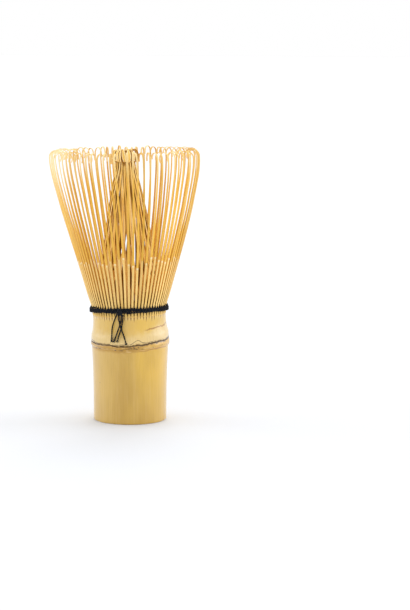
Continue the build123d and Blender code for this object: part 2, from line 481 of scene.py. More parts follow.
def paint_crack(s, color):
    """The thin crack on the collar's right."""
    level = s.math("ADD", s.times(s.right, 0.05), s.linear(s.broken, 1.1, 4.7))
    crack = s.times(s.scratch(s.above, level, 0.42), s.step(s.right, 5.0, 8.0))
    return s.coat(color, CRACK_BROWN, crack, s.step(s.mottle, 0.36, 0.46), 0.85)


def node_lines(s):
    """Where the node's dark lines are: its scar, the fainter second line, the broken dashes below
    them, and the short marks on the ridge's front."""
    scar = s.scratch(s.above, -0.08, s.times(s.broken, s.broken, s.linear(s.right, 0.045, 1.5)))
    second = s.scratch(s.above, s.attribute("mark"), 0.22)
    second = s.times(second, s.step(s.broken, 0.38, 0.46), 0.8)
    dashes = s.times(s.scratch(s.above, -1.65, 0.3), s.step(s.broken, 0.53, 0.58))
    marks = s.step(s.noise((1.3, 1.3, 2.6), 2.0, 0.6), 0.5, 0.56)
    from_middle = s.math("ABSOLUTE", s.math("SUBTRACT", s.right, 1.0))
    marks = s.times(s.scratch(s.above, -1.0, 0.6), marks, s.fade(from_middle, 2.5, 4.5))
    return s.math("MAXIMUM", s.math("MAXIMUM", scar, marks), s.math("MAXIMUM", second, dashes))


def paint_splits(s, color):
    """Painted shade on the collar's sides, and the marks that run down from its slits: brown staining with
    painted shade deep in them, and painted light, pale cream, between them. The value seed is the distance
    from the nearest slit."""
    # painted shade on the left and right of the collar
    color = s.mix(s.step(s.right, -4.0, -12.0), color, LEFT_PAINTED_SHADE, "MULTIPLY")
    color = s.mix(s.step(s.right, 4.0, 12.0), color, RIGHT_PAINTED_SHADE, "MULTIPLY")
    distance = s.attribute("seed")
    up = {0: s.place(), 1: tuple(UP)}
    height = s.node("ShaderNodeVectorMath", up, "Value", operation="DOT_PRODUCT")
    below = s.math("SUBTRACT", SLIT_FLOOR, height)
    length = s.math("MAXIMUM", s.linear(s.noise((1.1, 1.1, 0.01), 1.0, 0.5), 7.0, -1.9), 0.3)
    gap = s.math("MAXIMUM", s.linear(s.math("DIVIDE", below, length), -0.54, 0.54), 0.01)
    # the split marks: brown staining with painted shade
    split = s.fade(distance, s.times(gap, 0.3), gap)
    color = s.coat(color, SPLIT_STAIN_AND_SHADE, split, s.step(gap, 0.01, 0.12), 0.75)
    # painted shade deep in the splits
    deep = s.fade(distance, 0.08, s.times(gap, 0.7))
    color = s.coat(color, SPLIT_PAINTED_SHADE, deep, s.step(gap, 0.08, 0.3), 0.7)
    # painted light: pale cream between the splits, just under the slit floor
    return s.coat(color, PAINTED_LIGHT_CREAM, s.fade(below, 0.2, 1.8), s.step(distance, 0.3, 0.5), 0.3)


def culm_material(name, deep_skin, light_skin, cream):
    """The culm's waxy skin and its cut faces. cream is the strength of the bloom above the scar,
    which the grip lacks. The value mark is the second line's height above the scar."""
    s = CulmShader(name)
    side = s.attribute("side")
    color = s.mix(s.step(s.blotch, 0.34, 0.66), deep_skin, light_skin)
    color = paint_skin(s, color, cream)
    color = paint_fibres(s, color, cream)
    color = paint_ridge(s, color)
    color = paint_crack(s, color)
    lines = node_lines(s)
    color = s.coat(color, SCAR_BROWN, lines, 0.9)
    if cream:
        color = paint_splits(s, color)
    cut = s.coat(CUT_BAMBOO, CUT_GRAIN, s.dots((1.5, 1.5, 0.03), 0.34), 0.45)
    color = s.mix(s.step(side, 0.6, 0.7), cut, color)
    relief = s.math("ADD", s.times(s.fibre, 0.5), s.times(s.mottle, 0.5))
    s.bump(s.math("SUBTRACT", relief, lines), 0.04)
    rough = s.math("ADD", s.times(s.fibre, 0.14), s.linear(side, -0.12, 0.46))
    return s.finish(color, rough, Specular_IOR_Level=0.4, Coat_Weight=0.8, Coat_Roughness=0.2)


# heights between which the tines change
FOOT_ENDS = 43.8, 49.0
# where the painted shade on the tines' insides at the foot ends
INSIDE_FOOT_SHADE_ENDS = 45.5, 50.5
# where the painted shade with staining low on the outer tines' flanks lightens
OUTER_SHADE_AND_STAIN_FADES = 48.0, 56.0
# where the painted shade with staining low on the inner tines' flanks lightens
INNER_SHADE_AND_STAIN_FADES = 46.0, 54.0
FLANK_CLEARS = 56.0, 84.0
# where painted shade deepens on the back layer of inner tines
BACK_SHADE_DEEPENS = 58.0, 78.0
# where painted shade deepens on the inner tines' insides
INSIDE_SHADE_DEEPENS = 70.0, 88.0
# where painted shade deepens near the inner tines' top
TOP_SHADE_DEEPENS = 102.8, 104.4
TIP_PALES = 96.0, 110.5

# the two ends of each tone of the tines, which noise or the height mixes
OUTER_LOW_SKIN = rgb(0.89, 0.56, 0.145), rgb(0.99, 0.72, 0.29)
OUTER_HIGH_SKIN = rgb(0.79, 0.43, 0.045), rgb(0.96, 0.60, 0.12)
FOOT_SKIN = rgb(0.80, 0.53, 0.16)
OUTER_FLANK = rgb(0.74, 0.40, 0.055), rgb(0.98, 0.74, 0.30)
OUTER_INSIDE = rgb(0.84, 0.43, 0.06), rgb(0.92, 0.55, 0.12)
# painted shade with staining, for the outer tines' flanks low down
OUTER_SHADE_AND_STAIN = rgb(0.18, 0.065, 0.005), rgb(0.70, 0.37, 0.06)
OUTER_FACET = rgb(1.0, 0.85, 0.55)
# the tips' own pale colour, also used as painted light on the left
PALE_TIP_AND_LEFT_LIGHT = rgb(0.98, 0.81, 0.45)
INNER_SKIN = rgb(0.94, 0.52, 0.075), rgb(1.0, 0.73, 0.26)
# painted highlight for some inner tines
PAINTED_HIGHLIGHT_SKIN = rgb(1.0, 0.82, 0.45)
# painted shade for the back layer's skin
BACK_LAYER_SHADE = rgb(0.40, 0.155, 0.009)
# painted shade for the inner tines near the top
TOP_SHADE = rgb(0.36, 0.14, 0.008)
# painted shade on the inner tines' flanks, dark between the strands
INNER_FLANK_SHADE = rgb(0.31, 0.105, 0.004), rgb(0.48, 0.20, 0.015)
# the inner tines' inside, and the painted shade it turns to higher up
INNER_INSIDE_AND_SHADE = rgb(0.66, 0.29, 0.03), rgb(0.24, 0.08, 0.004)
# painted shade with staining, for the inner tines' flanks low down
INNER_SHADE_AND_STAIN = rgb(0.09, 0.03, 0.002), rgb(0.58, 0.27, 0.03)
# painted shade for the tines' insides at the foot
FOOT_INSIDE_SHADE = rgb(0.10, 0.035, 0.003)
TINE_FIBRE = rgb(0.45, 0.2, 0.03)
TINE_TINT = rgb(0.84, 0.80, 0.74), rgb(1.08, 1.08, 1.08)


def outer_tine_tones(s, seed, along, patch):
    """The skin, flank, inside, and the painted shade with staining low on the flanks of an outer tine, more
    golden above the shaving step.
    mark is the distance past that step."""
    past = s.attribute("mark")
    skin = s.mix(s.step(past, 0.2, 0.9), s.mix(patch, *OUTER_LOW_SKIN), s.mix(patch, *OUTER_HIGH_SKIN))
    skin = s.mix(s.step(along, *FOOT_ENDS), FOOT_SKIN, skin)
    flank = s.mix(s.step(seed, 0.15, 0.85), *OUTER_FLANK)
    # painted shade with staining low on the flanks, lighter higher up
    shade_and_stain = s.mix(s.step(along, *OUTER_SHADE_AND_STAIN_FADES), *OUTER_SHADE_AND_STAIN)
    return skin, flank, s.mix(patch, *OUTER_INSIDE), shade_and_stain


def inner_tine_tones(s, seed, along, patch):
    """The same for an inner tine: painted highlight on some tines, painted shade on the flanks, on the inside
    higher up and near the top, and painted shade higher up in the back layer, where mark is 1.
    """
    skin = s.mix(patch, *INNER_SKIN)
    # painted highlight: some tines made pale
    skin = s.coat(skin, PAINTED_HIGHLIGHT_SKIN, s.step(seed, 0.6, 0.9), 0.55)
    # painted shade on the back layer's skin higher up
    skin = s.coat(skin, BACK_LAYER_SHADE, s.attribute("mark"), s.step(along, *BACK_SHADE_DEEPENS), 0.6)
    # painted shade near the top, on some tines
    skin = s.coat(skin, TOP_SHADE, s.step(along, *TOP_SHADE_DEEPENS), s.fade(seed, 0.4, 0.62), 0.75)
    # the inside turns to painted shade higher up
    inside = s.mix(s.step(along, *INSIDE_SHADE_DEEPENS), *INNER_INSIDE_AND_SHADE)
    # painted shade with staining low down, darkest just above the binding
    shade_and_stain = s.mix(s.step(along, *INNER_SHADE_AND_STAIN_FADES), *INNER_SHADE_AND_STAIN)
    # the flank carries painted shade
    return skin, s.mix(patch, *INNER_FLANK_SHADE), inside, shade_and_stain


def paint_facets_and_tips(s, color, side, seed, along):
    """The pale facet that the knife leaves at an outer tine's shaving step, and its pale tip,
    with painted light that makes the pale begin lower down and show stronger on the left (-X) than on the
    right."""
    past = s.attribute("mark")
    facet = s.times(s.step(past, -0.3, 0.0), s.fade(past, 0.5, 0.8), s.step(side, 0.5, 0.9))
    color = s.coat(color, OUTER_FACET, facet, s.step(seed, 0.05, 0.6), 0.55)
    right = s.to_right()
    # the pale tip, with painted light that starts it lower and makes it stronger on the left (-X)
    begin = s.math("MINIMUM", s.math("ADD", right, 112.0), TIP_PALES[0])
    pale = s.times(s.step(along, begin, TIP_PALES[1]), s.linear(right, -0.011, 0.72))
    return s.coat(color, PALE_TIP_AND_LEFT_LIGHT, pale, s.linear(s.step(seed, 0.1, 0.6), 0.6, 0.4))


def tine_material(name, outer):
    """Split bamboo: a golden skin, painted shade with staining on the flanks low down, and painted shade on
    the inside at the foot. The value along is the height."""
    s = Shader(name)
    side, seed, along = map(s.attribute, ("side", "seed", "along"))
    fibre = s.noise((3.4, 3.4, 0.1), 3.0, 0.65)
    patch = s.noise((0.35, 0.35, 0.09), 2.0, 0.5)
    tones = outer_tine_tones if outer else inner_tine_tones
    skin, flank, inside, shade_and_stain = tones(s, seed, along, patch)
    # painted shade with staining on the flanks low down, giving way to the flank colour higher up
    flank = s.mix(s.step(along, *FLANK_CLEARS), shade_and_stain, flank)
    # painted shade on the insides at the foot
    inside = s.mix(s.step(along, *INSIDE_FOOT_SHADE_ENDS), FOOT_INSIDE_SHADE, inside)
    flank = s.mix(s.step(side, 0.1, 0.3), flank, inside)
    color = s.mix(s.step(side, 0.5, 0.9), flank, skin)
    color = s.coat(color, TINE_FIBRE, s.step(fibre, 0.48, 0.7), 0.25)
    color = s.mix(0.9, color, s.mix(seed, *TINE_TINT), "MULTIPLY")
    if outer:
        color = paint_facets_and_tips(s, color, side, seed, along)
    s.bump(fibre, 0.03)
    rough = s.math("ADD", s.times(fibre, 0.2), s.linear(side, -0.14, 0.5))
    return s.finish(color, rough, Specular_IOR_Level=0.1 if outer else 0.03)


# each pair is for a tine of low and of high seed
TIP_GOLD = rgb(0.74, 0.38, 0.03), rgb(1.0, 0.69, 0.19)
TIP_RIM = rgb(0.98, 0.75, 0.30), rgb(1.0, 0.87, 0.52)
TIP_ROOT = rgb(0.74, 0.38, 0.05), rgb(1.0, 0.67, 0.2)
TIP_DARK = rgb(0.58, 0.27, 0.025)
TIP_FIBRE = rgb(0.62, 0.34, 0.07)


def tip_material():
    """The thin curled tips of the inner tines: golden down the middle, with pale rims, and dark on
    their flanks and insides. The value along runs from 0 to 1 up each tip, and mark is 1 at a rim."""
    s = Shader("tip_bamboo")
    side, seed, along = map(s.attribute, ("side", "seed", "along"))
    fibre = s.noise((2.4, 2.4, 2.4), 3.0, 0.6)
    at_rim = s.step(s.attribute("mark"), 0.42, 0.68)
    color = s.mix(at_rim, s.mix(seed, *TIP_GOLD), s.mix(seed, *TIP_RIM))
    color = s.mix(s.fade(along, 0.12, 0.3), color, s.mix(seed, *TIP_ROOT))
    flank = s.fade(side, 0.1, 0.3)
    dark = s.times(s.fade(side, 0.5, 0.9), s.math("MAXIMUM", flank, s.step(along, 0.1, 0.3)))
    color = s.mix(dark, color, TIP_DARK)
    color = s.coat(color, TIP_FIBRE, s.step(fibre, 0.45, 0.7), 0.25)
    s.bump(fibre, 0.03)
    return s.finish(color, 0.45, Specular_IOR_Level=0.08)


def thread_material():
    """Blue-black cotton: each ply is a bundle of fine slanting fibres."""
    s = Shader("black_thread")
    along, turn = s.attribute("along"), s.attribute("mark")
    fibre = s.math("SINE", s.math("ADD", s.times(along, 9.0), s.times(turn, 2.0)))
    fuzz = s.noise((6.0, 6.0, 6.0), 3.0, 0.7)
    color = s.mix(fuzz, rgb(0.002, 0.0025, 0.004), rgb(0.016, 0.019, 0.027))
    s.bump(s.linear(fibre, 0.5, fuzz), 0.06, 0.8)
    return s.finish(color, 0.8, Sheen_Weight=0.04, Sheen_Roughness=0.4, Specular_IOR_Level=0.12)


grip_skin = culm_material("grip_skin", GRIP_DEEP, GRIP_LIGHT, 0.0)
collar_skin = culm_material("collar_skin", COLLAR_DEEP, COLLAR_LIGHT, 0.85)
outer_bamboo = tine_material("outer_tine_bamboo", True)
inner_bamboo = tine_material("inner_tine_bamboo", False)
tip_bamboo = tip_material()
black_thread = thread_material()


# ---- the culm ----

CULM_COLUMNS = 288
# the heights whose waves the ridge and the collar take all the way up
RIDGE_WAVE_HEIGHT = 30.0
COLLAR_WAVE_HEIGHT = 34.0
AZIMUTHS = round_turn(CULM_COLUMNS)


def culm_wave(height):
    """How far the culm's skin lies off a true circle."""
    slow = 0.09 * np.cos(2 * AZIMUTHS + 0.6) + 0.05 * np.cos(3 * AZIMUTHS - 1.1 + 0.02 * height)
    return slow + 0.018 * np.cos(11 * AZIMUTHS + 0.05 * height) + 0.01 * np.cos(23 * AZIMUTHS + 2.0)


def scar_level(side_slant):
    """The height of the node's scar round the culm, with its small waves."""
    level = NODE_HEIGHT + RING_RADIUS * np.sin(AZIMUTHS) * math.tan(SCAR_SLANT_FRONT)
    level = level + RING_RADIUS * np.cos(AZIMUTHS) * math.tan(side_slant)
    waves = 0.15 * np.sin(5 * AZIMUTHS + 0.4) + 0.1 * np.sin(9 * AZIMUTHS + 2.0)
    waves = waves + 0.07 * np.sin(17 * AZIMUTHS) + 0.05 * np.sin(41 * AZIMUTHS)
    return level + waves


SCAR_LEVEL = scar_level(SCAR_SLANT_SIDE)
# how far above the scar its second, fainter line runs; it lifts away from the scar near the front
LIFT_AZIMUTH = math.radians(281)
LIFT_WIDTH = 0.11
SECOND_LINE = 0.55 + 0.25 * np.sin(4 * AZIMUTHS + 1.0) + 0.12 * np.sin(13 * AZIMUTHS)
SECOND_LINE = SECOND_LINE + np.exp(-(((AZIMUTHS - LIFT_AZIMUTH) / LIFT_WIDTH) ** 2))
# how far round the collar each column is from the nearest split between two tines
SPLIT_RADIUS = 15.0
SPLIT_DISTANCE = np.abs((AZIMUTHS / PITCH) % 1 - 0.5) * PITCH * SPLIT_RADIUS


class Wall:
    """A culm wall built ring by ring, from the outside at the bottom up and round to the inside.
    Each ring has its height above the node's scar, and the kind of face that follows it."""

    def __init__(self):
        self.rings, self.above, self.sides = [], [], []

    def add(self, ring, above, side):
        self.rings.append(ring)
        self.above.append(np.broadcast_to(above, (CULM_COLUMNS,)))
        self.sides.append(side)

    def piece(self, name, material, node, sharp):
        solid = Solid()
        above = np.stack(self.above)
        add_grid(solid, np.stack(self.rings), self.sides, True, SPLIT_DISTANCE, above, SECOND_LINE)
        on_handle(solid.piece(name, material, sharp), node)


def level_ring(radius, height):
    radius, height = np.broadcast_arrays(radius, height, AZIMUTHS)[:2]
    return np.stack([radius * np.cos(AZIMUTHS), radius * np.sin(AZIMUTHS), height], axis=-1)


def make_grip():
    """The hollow internode that is held, with its cut end, its broken edges and its bore."""
    wall = Wall()
    for inset, height in [(0.5, 0.0), (0.34, 0.03), (0.16, 0.12), (0.05, 0.3), (0.0, 0.6)]:
        side = SKIN if height > 0.1 else FLANK
        wall.add(level_ring(BASE_RADIUS - inset + culm_wave(height), height), height - SCAR_LEVEL, side)
    top = (GRIP_TOP_RADIUS - 0.02, RING_BOTTOM - 0.25)
    profile = [(BASE_RADIUS, 0.6), (BASE_RADIUS + 0.17, 16.0), (15.26, 26.5), (15.4, 29.0), top]
    for radius, height in curve_through(profile, 40)[1:]:
        wall.add(level_ring(radius + culm_wave(height), height), height - SCAR_LEVEL, SKIN)
    rim = level_ring(GRIP_TOP_RADIUS + culm_wave(RIDGE_WAVE_HEIGHT), RING_BOTTOM)
    wall.add(rim, RING_BOTTOM - SCAR_LEVEL, FLANK)
    bore = CAVITY_RADIUS + 0.12 * np.cos(3 * AZIMUTHS + 1.0)
    for inset, height in [(0.0, RING_BOTTOM), (0.0, 20.0), (0.0, 8.0), (0.0, 0.35), (0.3, 0.0)]:
        wall.add(level_ring(bore + inset, height), height - SCAR_LEVEL, FLANK)
    wall.piece("grip", grip_skin, "grip_culm", 40)


def make_ridge():
    """The ridge of the node, from its soft lower edge to the groove of the scar above it."""
    wall = Wall()
    section = [
        (0.0, 15.46), (0.12, 15.6), (0.28, 15.84), (0.42, RING_RADIUS), (0.6, 15.96), (0.78, 15.86),
        (0.9, 15.74), (0.97, 15.6), (1.0, 15.3),
    ]
    rise = SCAR_LEVEL - RING_BOTTOM
    for share, radius in curve_through(section, 26):
        lumps = 0.07 * np.sin(7 * AZIMUTHS + 1.0) + 0.03 * np.sin(19 * AZIMUTHS + 9 * share)
        radius = radius + lumps * math.sin(math.pi * share) + culm_wave(RIDGE_WAVE_HEIGHT)
        wall.add(level_ring(radius, RING_BOTTOM + rise * share), rise * (share - 1), SKIN)
    wall.sides[-1] = FLANK
    for share in (1.0, 0.0):
        wall.add(level_ring(RING_BORE, RING_BOTTOM + rise * share), rise * (share - 1), FLANK)
    wall.piece("node_ridge", grip_skin, "node_ring", 50)


def make_collar():
    """The short internode above the node, up to the floor of the slits."""
    wall = Wall()
    bottom = scar_level(SCAR_SLANT_SIDE - HEAD_LEAN)
    wave = culm_wave(COLLAR_WAVE_HEIGHT)
    foot = [(0.0, 15.3), (0.06, 15.48), (0.18, 15.62), (0.36, 15.72), (0.6, 15.76)]
    for rise, radius in foot:
        wall.add(head_points(radius + wave, AZIMUTHS, bottom + rise), rise, SKIN)
    foot_top = foot[-1][0]
    profile = [(15.76, 0.0), (15.68, 0.12), (15.15, 0.36), (14.78, 0.72), (14.9, 1.0)]
    tall = SLIT_FLOOR - bottom - foot_top
    for radius, share in curve_through(profile, 30)[1:]:
        settle = 1 - float(smoothstep(0.5, 1.0, share))
        rise = foot_top + tall * share
        wall.add(head_points(radius + wave * settle, AZIMUTHS, bottom + rise), rise, SKIN)
    wall.sides[-1] = FLANK
    wall.add(head_points(COLLAR_BORE, AZIMUTHS, SLIT_FLOOR), tall, FLANK)
    wall.add(head_points(COLLAR_BORE, AZIMUTHS, bottom), 0.0, FLANK)
    wall.piece("collar", collar_skin, "split_collar", 50)


def show_diaphragm():
    """The wall inside the node is shown as the CAD model has it."""
    diaphragm = frame["nodes"]["node_diaphragm"]
    diaphragm.data.materials.clear()
    diaphragm.data.materials.append(grip_skin)


# ---- the tines ----

# how far, in millimetres, the tips of the front tines have moved round, so that the cone shows
PARTED = {51: -0.5, 52: -0.9, 53: -1.6, 54: 0.9, 55: 0.1, 56: -1.2, 57: -1.0, 58: -0.4}

STRAIGHT_POINTS = 64
HOOK_POINTS = 16
SWAY_REACH = 0.42
SWAY_HEIGHT = 59.0


def sway(height):
    """The tines bow a little towards +X between the binding and the mouth."""
    share = np.clip((height - BINDING_TOP) / SWAY_HEIGHT, 0, 1)
    return (SWAY_REACH * np.sin(math.pi * share))[..., None] * np.array(SIDE)


def outer_outline(splay, curl, sweep, hook_height):
    """An outer tine's skin side, as radii and heights: its straight part, then its hook."""
    free_height = HOOK_HEIGHT - BINDING_TOP
    face = [(r + splay * max(0.0, (z - BINDING_TOP) / free_height) ** 1.5, z) for r, z in OUTER_FACE]
    rim = MOUTH_RADIUS + splay
    face.append((rim, hook_height))
    straight = curve_through(face, STRAIGHT_POINTS, first=(0.03, 1), last=(0, 1))
    turns = np.linspace(0, sweep, HOOK_POINTS + 1)[1:]
    tight_curl = curl * (1 - 0.12 * turns / sweep)
    hook_radii = rim - curl + tight_curl * np.cos(turns)
    hook = np.stack([hook_radii, hook_height + tight_curl * np.sin(turns)], axis=1)
    return np.vstack([straight, hook])


def outer_tine(solid, number):
    """One outer tine, from the floor of its slits to the square-cut end of its curl. The mouth is
    a little higher on the left (-X)."""
    azimuth = number * PITCH
    seed = rng.random()
    splay = rng.gauss(0, 0.22)
    drift = max(-0.7, min(0.7, rng.gauss(0, 0.3))) + PARTED.get(number, 0.0)
    rise = -0.28 * math.cos(azimuth) + rng.gauss(0, 0.16)
    curl = HOOK_RADIUS * (1 + rng.uniform(-0.09, 0.09))
    sweep = math.radians(rng.uniform(178, 222))
    yaw = rng.gauss(0, 0.1)
    twist = rng.gauss(0, 0.14)
    hook_height = HOOK_HEIGHT + rise
    outline = outer_outline(splay, curl, sweep, hook_height)
    height = outline[:, 1]
    run = run_along(outline)
    share = run / run[-1]
    step = SHAVING_STEP + rng.gauss(0.2, 1.1)
    shaved = smoothstep(step, step + 0.7, run + SLIT_FLOOR)
    thickness = np.interp(share, [0, 0.06, 0.3, 0.6, 0.84, 1], [1.1, 1.05, 0.78, 0.44, 0.28, 0.2])
    slope = directions(outline)
    inward = np.stack([-slope[:, 1], slope[:, 0]], axis=1)
    centre = outline + inward * (thickness / 2 + 0.09 * shaved * (1 - share))[:, None]
    body_width = OUTER_WIDTH * (1 + rng.uniform(-0.04, 0.04))
    # at its foot a tine still touches its neighbours
    touching = 2 * centre[:, 0] * math.tan(PITCH / 2) * 1.02
    width = touching + (body_width - touching) * smoothstep(SLIT_FLOOR - 0.2, SLIT_FLOOR + 1.3, height)
    width = width * (1 - 0.23 * smoothstep(0.28, 0.7, share) - 0.06 * smoothstep(0.86, 1.0, share))
    bend = smoothstep(0.08, 1.0, share)
    in_hook = np.arange(len(outline)) >= STRAIGHT_POINTS
    over = np.where(in_hook, (MOUTH_RADIUS + splay - outline[:, 0]) * math.sin(yaw), 0.0)
    sideways = drift * bend * share + over
    turned = azimuth + sideways / centre[:, 0]
    path = head_points(centre[:, 0], turned, height)
    outer_radii = centre[:, 0] - inward[:, 0]
    twisted = turned + twist * bend / centre[:, 0]
    away = head_points(outer_radii, twisted, height - inward[:, 1]) - path
    lean = head_points(centre[:, 0], turned + 0.01, height) - path
    path = path + sway(height)
    away = normalized(away) + normalized(lean) * (twist * bend)[:, None]
    # the hook counts on upwards, so that its colour doesn't turn back with it
    along = height.copy()
    along[in_hook] = hook_height + np.arange(1, HOOK_POINTS + 1) * 0.3
    add_ribbon(solid, path, away, width, thickness, seed, along, run + SLIT_FLOOR - step)


def make_outer_tines():
    for number, joint in enumerate(frame["joints"], 1):
        solid = Solid()
        first = (number - 1) * TINES_PER_SPLINT
        for tine in range(first, first + TINES_PER_SPLINT):
            outer_tine(solid, tine)
        piece = solid.piece(f"outer_splint_{number:02d}", outer_bamboo, sharp=30)
        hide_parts(f"outer_tines_{number:02d}")
        middle = (first + 1) * PITCH
        root = Vector(head_points(15.0, middle, RIM_TOP + 0.2)) * MM
        tip = Vector(head_points(29.0, middle, 100.0)) * MM
        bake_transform(piece)


# the inner tines, in clusters of three, one in each layer, and their common outline
LAYERS = 3
MIDDLE_LAYER, BACK_LAYER = 1, 2
LAYER_INSET = (0.0, -0.38, -0.76)
LAYER_TURN = (0.0, 0.12, -0.12)
LAYER_SWING = (-0.5, 0.45, -0.1)
LAYER_WIDENING = (1.0, 1.05, 1.9)
CONE = [
    (12.6, SLIT_FLOOR), (12.5, 51.0), (11.75, 58.5), (10.5, 67.0),
    (8.25, 82.0), (5.8, 95.0), (4.1, 103.2), (3.9, 104.9),
]
CONE_TOP_RADIUS, CONE_TOP = CONE[-1]
CONE_POINTS = 46

# the rosette's loops, one on every fourth tip: their middle, reach and stretch upwards
LOOP_EVERY = 4
LOOP_RADIUS = 3.72
LOOP_HEIGHT = 107.4
LOOP_REACH = 1.4
LOOP_STRETCH = 1.7
LEAD_POINTS = 8
LOOP_POINTS = 34
DARK_TIP_POINTS = 22
TIP_THICKNESS = 0.2


def inner_tine_plan(number):
    """One inner tine's layer, its place at the top, and how it crosses the others, which is more on
    the left (-X). Layer 0 lies outermost, and each next one further in."""
    azimuth = (number + 0.5) * PITCH
    cluster, layer = divmod(number, LAYERS)
    centre = (cluster * LAYERS + 1.5) * PITCH
    crossing = 0.15 + 0.85 * float(smoothstep(-0.35, 0.8, -math.cos(azimuth)))
    return {
        "azimuth": azimuth,
        "seed": rng.random(),
        "layer": layer,
        "inset": LAYER_INSET[layer],
        "top": centre + LAYER_TURN[layer] + rng.gauss(0, 0.02) - 0.15,
        "swing": LAYER_SWING[layer] * crossing + rng.gauss(0, 0.06),
        "loop": number % LOOP_EVERY == 1,
    }


def cone_azimuth(plan, height):
    """The azimuth of an inner tine, which swings round the cone and back on its way up it."""
    turn = smoothstep(50.0, 105.0, height)
    middle = np.sin(np.pi * np.clip((height - 54) / 50, 0, 1))
    return plan["azimuth"] + (plan["top"] - plan["azimuth"]) * turn + plan["swing"] * middle


def make_inner_tines(plans):
    outline = curve_through(CONE, CONE_POINTS, first=(0, 1))
    height = outline[:, 1]
    slope = directions(outline)
    share = np.linspace(0, 1, CONE_POINTS)
    thickness = np.interp(share, [0, 0.3, 1], [0.7, 0.4, 0.24])
    front_width = np.interp(share, [0, 0.3, 0.7, 1], [0.66, 0.66, 0.6, 0.46])
    for bundle in range(INNER_COUNT // TINES_PER_BUNDLE):
        solid = Solid()
        for plan in plans[bundle * TINES_PER_BUNDLE:(bundle + 1) * TINES_PER_BUNDLE]:
            radius = outline[:, 0] + plan["inset"] * smoothstep(52, 90, height)
            azimuth = cone_azimuth(plan, height)
            path = head_points(radius, azimuth, height)
            away = head_points(radius + slope[:, 1], azimuth, height - slope[:, 0]) - path
            path = path + sway(height)
            width = front_width * LAYER_WIDENING[plan["layer"]]
            # painted shade for the back layer, passed on as mark
            back_shade = np.full(CONE_POINTS, 1.0 if plan["layer"] == BACK_LAYER else 0.0)
            add_ribbon(solid, path, away, width, thickness, plan["seed"], height, back_shade, crown=0.02)
        piece = solid.piece(f"inner_bundle_{bundle + 1:02d}", inner_bamboo, sharp=30)
        on_handle(piece, f"inner_tines_{bundle + 1:02d}")


def add_tip(solid, plan, outline, azimuth, width, skin=SKIN, tilt=0.0):
    """One tip, along an outline of radii and heights. Its pale rims and golden middle are marked."""
    thickness = np.full(len(outline), TIP_THICKNESS)
    path = head_points(outline[:, 0], azimuth, outline[:, 1])
    slope = directions(outline)
    away = head_points(outline[:, 0] - slope[:, 1], azimuth, outline[:, 1] + slope[:, 0]) - path
    round_it = normalized(head_points(outline[:, 0], azimuth + 0.02, outline[:, 1]) - path)
    rim = np.ones((len(path), RIBBON_CORNERS))
    rim[:, SKIN_MIDDLE] = 0.0
    along = np.linspace(0, 1, len(path))
    away = normalized(away) + round_it * tilt
    path = path + sway(outline[:, 1])
    add_ribbon(solid, path, away, width, thickness, plan["seed"], along, rim, 0.03, 0.05, skin)


def add_loop(solid, plan, start, base, place):
    """A tip that goes in at the neck, then over and outwards, and comes to its place in the rosette."""
    turns = np.radians(np.linspace(195, rng.uniform(-85, -60), LOOP_POINTS))
    loop = LOOP_REACH + rng.uniform(-0.12, 0.08)
    radii = LOOP_RADIUS + loop * np.cos(turns)
    curl = np.stack([radii, LOOP_HEIGHT + LOOP_STRETCH * loop * np.sin(turns)], axis=1)
    lead = curve_through([start, (3.1, 105.9), curl[0]], LEAD_POINTS, first=(-0.4, 1), last=(-0.1, 1))
    outline = np.vstack([lead[:-1], curl])
    share = np.concatenate([np.zeros(LEAD_POINTS - 1), np.linspace(0, 1, LOOP_POINTS)])
    target = place + rng.gauss(0, 0.06)
    azimuth = base + (target - base) * share**0.7
    width = np.interp(share, [0, 0.25, 0.45, 0.7, 0.92, 1], [0.5, 0.75, 1.15, 1.7, 1.3, 0.8])
    tilt = rng.gauss(0.1, 0.3)
    add_tip(solid, plan, outline, azimuth, width * rng.uniform(0.88, 1.12), tilt=tilt)


def add_dark_tip(solid, plan, start, base):
    """A tip that leans into the middle, under the loops."""
    inner = 3.5 if plan["layer"] == MIDDLE_LAYER else 2.9
    points = [start, (inner, 106.0), (inner - 0.1, 107.4), (inner - 0.7, 108.6), (0.9, 109.0)]
    outline = curve_through(points, DARK_TIP_POINTS, first=(-0.12, 1))
    share = np.linspace(0, 1, DARK_TIP_POINTS)
    azimuth = base + rng.gauss(0, 0.12) * share - 0.8 * share**2
    width = np.interp(share, [0, 0.4, 1], [0.46, 0.5, 0.25])
    add_tip(solid, plan, outline, azimuth, width, INSIDE)


def make_rosette(plans):
    """The tips of the inner tines. Eighteen of them turn over outwards and end as broad loops, side
    by side. The others lean into the middle and stay dark."""
    solid = Solid()
    for number, plan in enumerate(plans):
        start = (CONE_TOP_RADIUS + plan["inset"], CONE_TOP)
        base = float(cone_azimuth(plan, np.array([CONE_TOP]))[0])
        if plan["loop"]:
            place = (number // LOOP_EVERY + 0.5) * LOOP_EVERY * PITCH
            add_loop(solid, plan, start, base, place)
        else:
            add_dark_tip(solid, plan, start, base)
    on_handle(solid.piece("curled_tips", tip_bamboo, sharp=35), "tip_rosette")


# ---- the thread ----

POINTS_PER_TWIST = 14
POINTS_PER_SCALLOP = 12


def band_points(radius, azimuth, rise):
    """Points round the binding, whose plane is raised a little at the front."""
    radius, azimuth, rise = np.broadcast_arrays(radius, azimuth, rise)
    height = BAND_HEIGHT + rise - radius * np.sin(azimuth) * math.tan(BAND_SLANT)
    return head_points(radius, azimuth, height)


